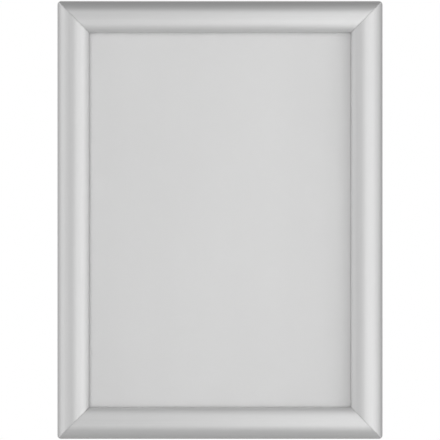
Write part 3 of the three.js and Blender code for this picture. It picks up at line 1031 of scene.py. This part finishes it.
# %% [markdown]
# ## Spring steel
# Hardened strip is rolled bright and then blued a little by the heat. Fine rolling lines run along the
# strip, and the heat's colour lies in broad patches.

# %% Spring steel
steel = lined_metal(
    "spring_steel", lines=(6000, 20, 1), clouds=45, detail=2, share=0.5,
    dark=(0.4, 0.42, 0.46), light=(0.6, 0.6, 0.6), smooth=0.2, rough=0.34,
    strength=0.4, depth=5e-6,
)
print(steel.name, "has", len(steel.node_tree.nodes), "nodes")

# %% [markdown]
# ## The grey panel
# Plain plastic sheet, light grey all through, with the faint unevenness and fine grain of extruded sheet.

# %% Panel plastic


def grey_panel():
    """Flow streaks along the sheet's length and a fine grain."""
    finish, tree, shader = new_finish("grey_panel")
    place = place_on(tree)
    flow = stretched_noise(tree, place, (38, 38, 2.2), detail=3)
    grain = stretched_noise(tree, place, (1800, 1800, 1800), detail=2)
    mixed = mix(tree, 0.4, flow, grain)
    colour = tint(tree, mixed, (0.8, 0.8, 0.8), (0.83, 0.83, 0.83))
    roughness = spread(tree, mixed, 0.48, 0.6)
    coat(tree, shader, colour, roughness, grain, strength=0.25, depth=6e-6)
    return finish


grey = grey_panel()
print(grey.name, "has", len(grey.node_tree.nodes), "nodes")

# %% [markdown]
# ## The clear film
# Anti-glare film is clear, but one face is finely grained so that lamps don't mirror in it. It is thin, so
# there is nothing to refract: a low Alpha on the shader shows what lies behind, with a little haze.

# %% Anti-glare film


def clear_film():
    """A hazy clear sheet with broad faint waves and a very fine grain."""
    finish, tree, shader = new_finish("clear_film", Alpha=0.16, IOR=1.49)
    place = place_on(tree)
    grain = stretched_noise(tree, place, (4200, 4200, 4200), detail=2)
    waves = stretched_noise(tree, place, (14, 14, 9), detail=1)
    colour = tint(tree, waves, (0.835, 0.835, 0.835), (0.865, 0.865, 0.865))
    roughness = spread(tree, grain, 0.3, 0.4)
    coat(tree, shader, colour, roughness, grain, strength=0.3, depth=4e-6)
    return finish


clear = clear_film()
print(clear.name, "has", len(clear.node_tree.nodes), "nodes")

# %% [markdown]
# ## Dressing the pieces
# Now every piece gets its finish, hides the CAD node that it stands for, and rides on the body that carries
# it. The covers turn with their own bodies, and all that stays on the wall rides on the base.

# %% Dress


def dress(piece, finish, node, body=None):
    """Gives a piece its finish in a material slot, hides its CAD node, and puts it on its body, if one is
    given.
    """
    piece.data.materials.clear()
    piece.data.materials.append(finish)
    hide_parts(node)
    if body:
        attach(piece, body)


for side in SPANS:
    dress(covers[side], satin, f"cover_rail_{side}", f"{side}_cover")
    dress(bases[side], plain, f"base_rail_{side}", "base")
for corner, key in keys.items():
    dress(key, zinc, f"corner_key_{corner}", "base")
dress(panel, grey, "back_panel", "base")
dress(film, clear, "cover_film", "base")
print("dressed", len(covers), "covers,", len(bases), "bases,", len(keys), "keys, the panel and the film")

# %% [markdown]
# ## Springs between two bodies
# A leaf spring belongs to two bodies at once: one edge stays in the post's notch and the other follows the
# claw's groove. So it rides on neither body, and its place is baked into its mesh.

# %% Springs on no body
for (side, end), spring in springs.items():
    dress(spring, steel, f"leaf_spring_{side}_{end}")
    along = spring_places[side, end]
    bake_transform(spring)
print("bending pieces:", len(springs))

# %% [markdown]
# ## The studio: a light tent
# The picture has a pure white background and no hard shadow. The rails tell more about the light, because a
# satin dome is like a blurred mirror of the room: each of them is brightest where it faces the right
# front, evenly grey towards the left, and dark where it faces up or down. So the frame stands in a light
# tent, with cloth walls that are lit differently.
# What is far away goes into the world. It is a grey room, paler above and at the sides than in front, and
# dark below.

# %% Room
ROOM_ABOVE = 0.35
ROOM_LEFT = 0.25
ROOM_RIGHT = 0.14
ROOM_AHEAD = 0.19
WALL_START = 0.25  # a direction's share towards a wall at which that wall's light sets in
WALL_END = 0.9  # and the share at which it is in full

world = bpy.data.worlds.new("room")
bpy.context.scene.world = world
world.use_nodes = True
room = world.node_tree
gaze = add_node(room, "ShaderNodeTexCoord").outputs["Generated"]
axes = add_node(room, "ShaderNodeSeparateXYZ", {"Vector": gaze}).outputs


def towards(axis, sign, start=WALL_START):
    """How much a direction points along an axis, or against it where the sign is -1: 0 up to the start, 1
    from the wall's end on, and smooth between."""
    inputs = {"Value": axes[axis], "From Min": sign * start, "From Max": sign * WALL_END}
    return add_node(room, "ShaderNodeMapRange", inputs, interpolation_type="SMOOTHSTEP").outputs["Result"]


def reckon(tree, operation, *values):
    """A Math node on values or sockets."""
    return add_node(tree, "ShaderNodeMath", dict(enumerate(values)), operation=operation).outputs["Value"]


above, below = towards("Z", 1), towards("Z", -1)
level = reckon(room, "SUBTRACT", reckon(room, "SUBTRACT", 1.0, above), below)
sides = reckon(room, "MULTIPLY_ADD", towards("X", -1), ROOM_LEFT, ROOM_AHEAD)
sides = reckon(room, "MULTIPLY_ADD", towards("X", 1), ROOM_RIGHT, sides)
walls = reckon(room, "MULTIPLY_ADD", above, ROOM_ABOVE, reckon(room, "MULTIPLY", level, sides))
print("room:", len(room.nodes), "nodes")

# %% [markdown]
# Behind the frame hangs the white backdrop. It lights the room a little less than it shows: rays from the
# camera see pure white all round, and rays that come off metal or film see the white where it is, behind.

# %% Backdrop
BACKDROP = 0.8
BACKDROP_START = 0.3

behind = towards("Y", 1, BACKDROP_START)
tone = mix(room, behind, walls, BACKDROP)
path = add_node(room, "ShaderNodeLightPath").outputs
shiny = reckon(room, "ADD", path["Is Glossy Ray"], path["Is Transmission Ray"])
white = reckon(room, "MINIMUM", reckon(room, "MULTIPLY_ADD", shiny, behind, path["Is Camera Ray"]), 1.0)
strength = mix(room, white, tone, 1.0)
room.nodes["Background"].inputs["Color"].default_value = (1, 1, 1, 1)
room.links.new(strength, room.nodes["Background"].inputs["Strength"])
print("room with its backdrop:", len(room.nodes), "nodes")

# %% [markdown]
# The walls of the tent are near, about a forearm's length from the frame, so every rail sees them from
# another angle. Area lamps serve as cloth: a wall is given by how bright it looks, and its power follows
# from that and from its size. The side walls are only there for the shine on the metal: a lamp's Ray
# Visibility keeps them off matt surfaces.

# %% Tent walls
BACK = (0, 1, 0)
LEFT = (-1, 0, 0)
RIGHT = (1, 0, 0)
DOWN = (0, 0, -1)
UP = (0, 0, 1)
TENT_FRONT = 0.6  # from the wall to the tent's front, in metres
TENT_SIDE = 0.3  # from the frame's middle to the tent's sides
TENT_TALL = 0.9
TENT_STRIP = 0.16  # width of a narrow wall


def soft_lamp(name, place, facing, size, brightness, matt=True, shine=True):
    """A flat lamp at a place, turned to face a direction, for matt surfaces, for shine or for both. A lamp
    of power P and area A looks as bright as P / (pi A)."""
    light = bpy.data.lights.new(name, "AREA")
    light.shape = "RECTANGLE"
    light.size, light.size_y = size
    light.energy = brightness * np.pi * size[0] * size[1]
    lamp = bpy.data.objects.new(name, light)
    lamp.location = place
    lamp.rotation_euler = Vector(facing).to_track_quat("-Z", "Y").to_euler()
    lamp.visible_camera = False
    lamp.visible_diffuse = matt
    lamp.visible_glossy = shine
    bpy.context.scene.collection.objects.link(lamp)
    return lamp


tent = [
    soft_lamp("front_left", (-0.3, -TENT_FRONT, 0.03), BACK, (0.6, TENT_TALL), 0.45),
    soft_lamp("front_right", (0.15, -TENT_FRONT, 0.03), BACK, (0.3, TENT_TALL), 1.05),
    soft_lamp("right_near", (TENT_SIDE, -0.1, 0.02), LEFT, (TENT_STRIP, TENT_TALL), 0.57, matt=False),
    soft_lamp("right_far", (TENT_SIDE, -0.34, 0.02), LEFT, (2 * TENT_STRIP, TENT_TALL), 1.0, matt=False),
    soft_lamp("left_near", (-TENT_SIDE, -0.1, 0.02), RIGHT, (TENT_STRIP, TENT_TALL), 0.65, matt=False),
    soft_lamp("left_far", (-TENT_SIDE, -0.26, 0.02), RIGHT, (TENT_STRIP, TENT_TALL), 0.19, matt=False),
    soft_lamp("above", (0, -0.36, 0.37), DOWN, (0.7, 2 * TENT_STRIP), 0.43),
    soft_lamp("below", (0, -0.44, -0.37), UP, (0.7, TENT_STRIP), 0.41),
]
print("tent walls in watts:", {lamp.name: round(lamp.data.energy, 2) for lamp in tent})

# %% [markdown]
# ## Light for the sheet
# The sheet in the window is palest beside the left lip and shaded beside the right one, so its light comes
# in low from the right. A tall lamp far out on that side sweeps over it, and a weaker one at the left front
# evens out the fall-off. Both would spoil the rails' soft bands of light, so they leave the shine alone.

# %% Lamps for the sheet
sheet_lamps = [
    soft_lamp("sweep", (1.2, -0.5, 0), LEFT, (0.9, 1.1), 2.5, shine=False),
    soft_lamp("fill", (-0.45, -0.63, 0.03), BACK, (0.3, 0.9), 1.05, shine=False),
]
print("lamps for the sheet in watts:", {lamp.name: round(lamp.data.energy, 2) for lamp in sheet_lamps})

# %% [markdown]
# ## The floor
# A pale floor lies well below, since the frame hangs on a wall. It keeps the frame's soft shadow. The tent
# leaves it in half light, so it glows like paper lit from below: the camera sees it pale near the frame and
# white towards its rim, where it melts into the backdrop. Metal and film show a trace of that glow.

# %% Floor
FLOOR_LEVEL = -0.6
FLOOR_RADIUS = 2.6
FLOOR_POINTS = 96
GLOW_START = FLOOR_RADIUS / 4  # where the glow begins to grow towards the rim
GLOW_NEAR = 0.5
GLOW_FAR = 1.0
SHINY_SHARE = 0.15  # of the glow, in metal and film


def floor_finish():
    """Pale paper with faint clouds. It glows for camera rays, and less for those that come off a shine."""
    finish, tree, shader = new_finish("pale_floor", Roughness=0.9, Emission_Color=(1, 1, 1, 1))
    place = place_on(tree)
    clouds = stretched_noise(tree, place, (3, 3, 3), detail=2)
    away = add_node(tree, "ShaderNodeVectorMath", {0: place}, operation="LENGTH").outputs["Value"]
    glow = spread(tree, away, GLOW_NEAR, GLOW_FAR, GLOW_START, FLOOR_RADIUS)
    path = add_node(tree, "ShaderNodeLightPath").outputs
    shiny = reckon(tree, "ADD", path["Is Glossy Ray"], path["Is Transmission Ray"])
    seen = reckon(tree, "MULTIPLY_ADD", shiny, SHINY_SHARE, path["Is Camera Ray"])
    colour = tint(tree, clouds, (0.62, 0.62, 0.62), (0.65, 0.65, 0.65))
    tree.links.new(colour, shader.inputs["Base Color"])
    tree.links.new(reckon(tree, "MULTIPLY", seen, glow), shader.inputs["Emission Strength"])
    return finish


rim = polar(np.zeros(2), FLOOR_RADIUS, np.linspace(0, 360, FLOOR_POINTS, endpoint=False))
floor = make_piece("floor", np.insert(rim, 2, FLOOR_LEVEL, 1), [list(range(len(rim)))])
floor.data.materials.append(floor_finish())
print(f"floor {-FLOOR_LEVEL} m below the frame's centre, {2 * FLOOR_RADIUS} m across")
